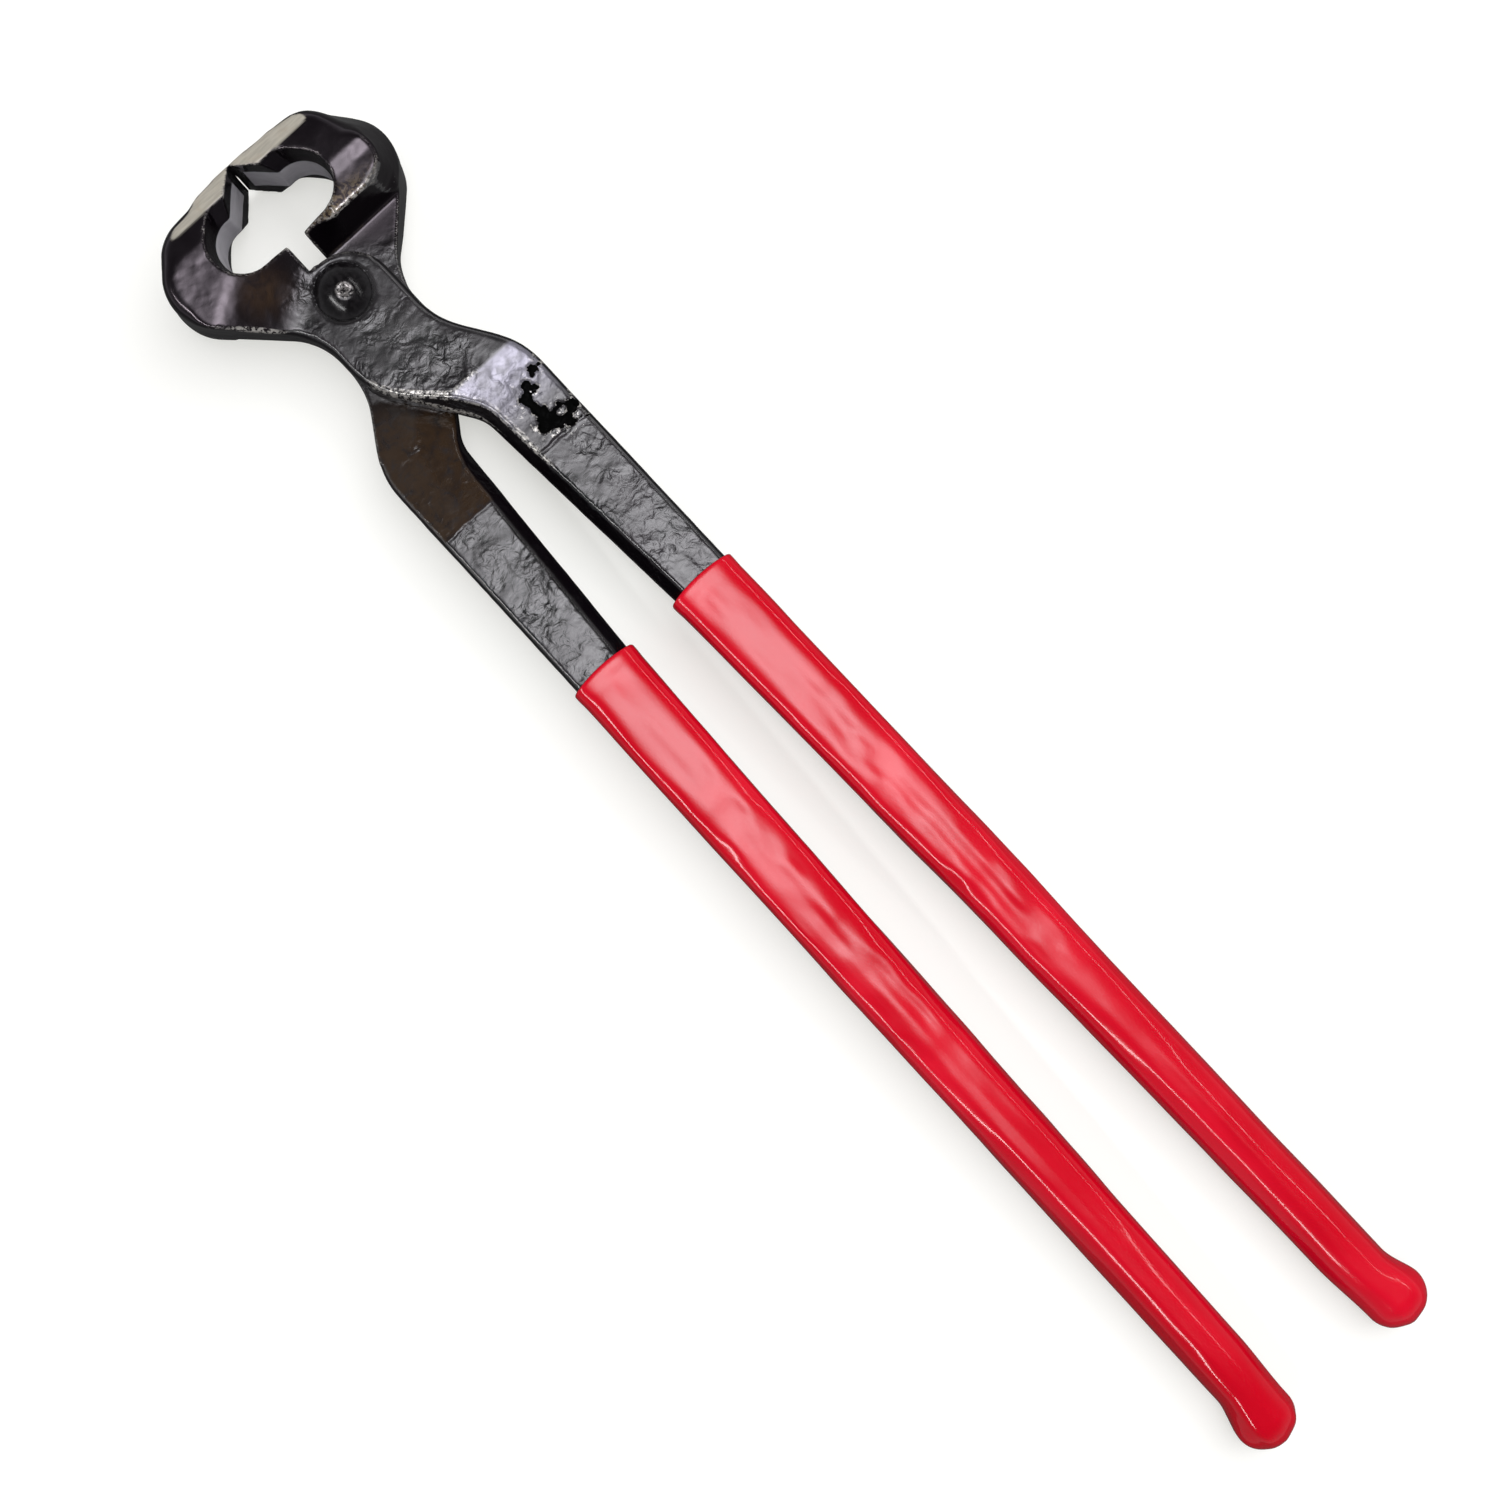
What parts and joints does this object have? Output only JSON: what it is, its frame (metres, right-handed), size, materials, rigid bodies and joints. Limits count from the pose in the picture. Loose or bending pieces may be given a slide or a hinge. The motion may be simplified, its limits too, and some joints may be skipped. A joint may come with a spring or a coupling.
{
  "type": "end-cutting pincers",
  "caption": "Long-handled end-cutting pincers: crossed forged levers on a domed rivet, ground cutting jaws and dipped vinyl grips that curl out at the ends.",
  "frame": {"origin": "under the middle of the tool's length and width, on the plane that the head rests on", "axes": "+Y runs along the tool to its cutting edges, +Z is parallel to the rivet's axis, +X is across the jaws"},
  "size_m": [0.0638, 0.3802, 0.0268],
  "materials": {
    "forged_steel": "glossy black-oiled forged steel with hammer and scale texture, bare ground steel on the cutting cheeks",
    "rivet_steel": "glossy black-oiled steel, lightly hammered",
    "red_vinyl": "glossy dipped vinyl, slightly rippled"
  },
  "bodies": {
    "upper_arm": {"upper_lever": "forged_steel", "pivot_rivet": "rivet_steel", "upper_grip": "red_vinyl"},
    "lower_arm": {"lower_lever": "forged_steel", "lower_grip": "red_vinyl"}
  },
  "joints": [
    {"name": "jaw_pivot", "type": "hinge", "parent": "upper_arm", "child": "lower_arm", "pos_m": [0, 0.15205, 0.0134], "axis": [0, 0, -1], "range_deg": [0, 60]}
  ]
}
